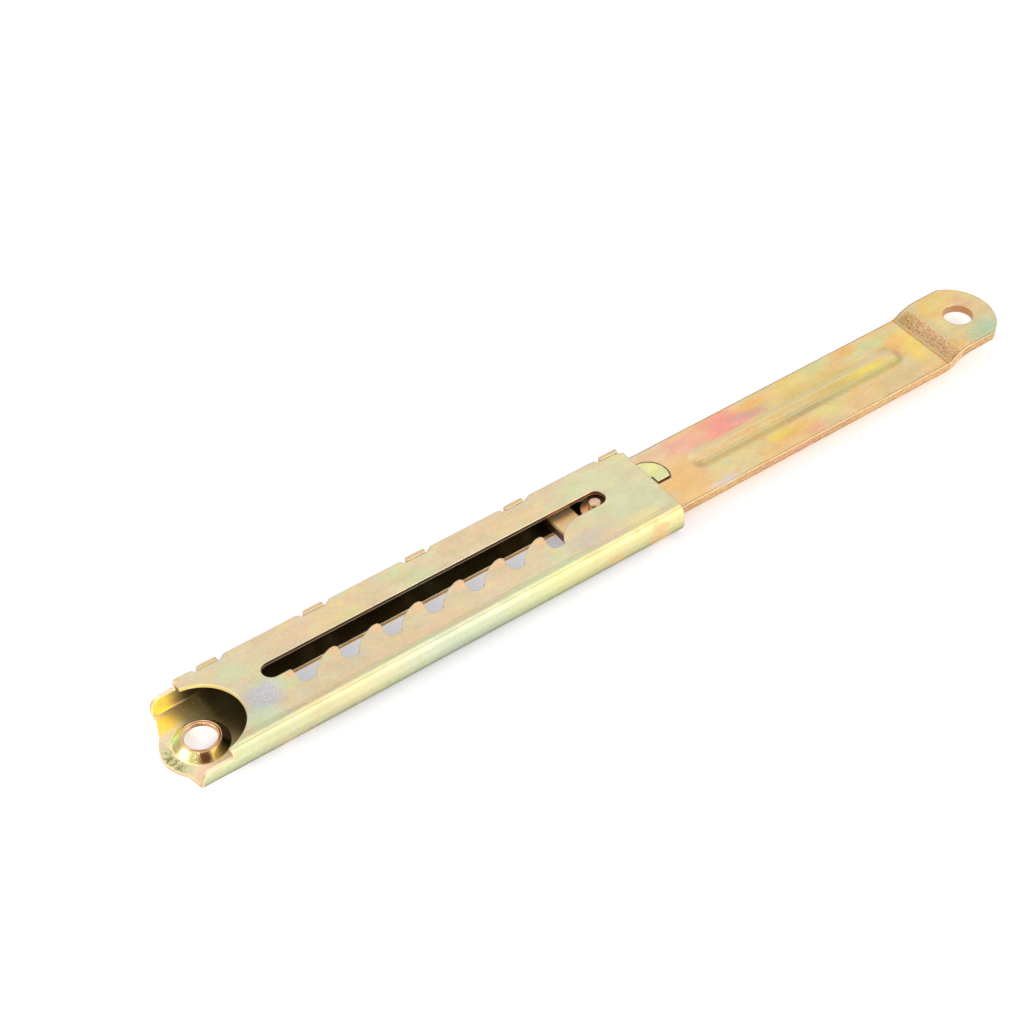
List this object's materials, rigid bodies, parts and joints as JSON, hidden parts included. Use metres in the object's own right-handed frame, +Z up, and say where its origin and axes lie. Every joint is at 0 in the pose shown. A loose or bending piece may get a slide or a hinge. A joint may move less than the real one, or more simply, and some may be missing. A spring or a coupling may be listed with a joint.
{
  "type": "sliding ratchet stay",
  "caption": "Flat telescopic stay: a bar slides out of a folded channel and a sprung pawl's pin locks in a toothed slot; eyelet at one end, round hole at the other.",
  "frame": {"origin": "axis of the casing's eyelet bore, at the underside of the bottom plate", "axes": "+X along the stay, from the eyelet to the hole in the arm; +Y towards the casing's tabbed wall; +Z up, out of the roof side"},
  "size_m": [0.2707, 0.029, 0.0092],
  "materials": {
    "plated_sheet": "yellow-passivated zinc plate, satin, faintly iridescent",
    "plated_bar": "yellow-passivated zinc plate, satin, strongly iridescent",
    "plated_pawl": "yellow-passivated zinc plate, satin",
    "plated_pin": "turned, zinc plated, rubbed bright on its end",
    "spring_steel": "blued spring strip"
  },
  "bodies": {
    "casing": {"casing": "plated_sheet"},
    "arm": {"arm": "plated_bar", "pawl_spring": "spring_steel"},
    "pawl": {"pawl": "plated_pawl", "ratchet_pin": "plated_pin"}
  },
  "joints": [
    {"name": "arm_slide", "type": "slide", "parent": "casing", "child": "arm", "axis": [1, 0, 0], "range_m": [-0.098, 0]},
    {"name": "pawl_pivot", "type": "hinge", "parent": "arm", "child": "pawl", "pos_m": [0.1411, 0.0037, 0.00505], "axis": [0, 0, 1], "range_deg": [-4, 0], "stiffness_Nm_per_rad": 0.03, "springref_deg": 14.32, "deforming": ["pawl_spring"]}
  ]
}
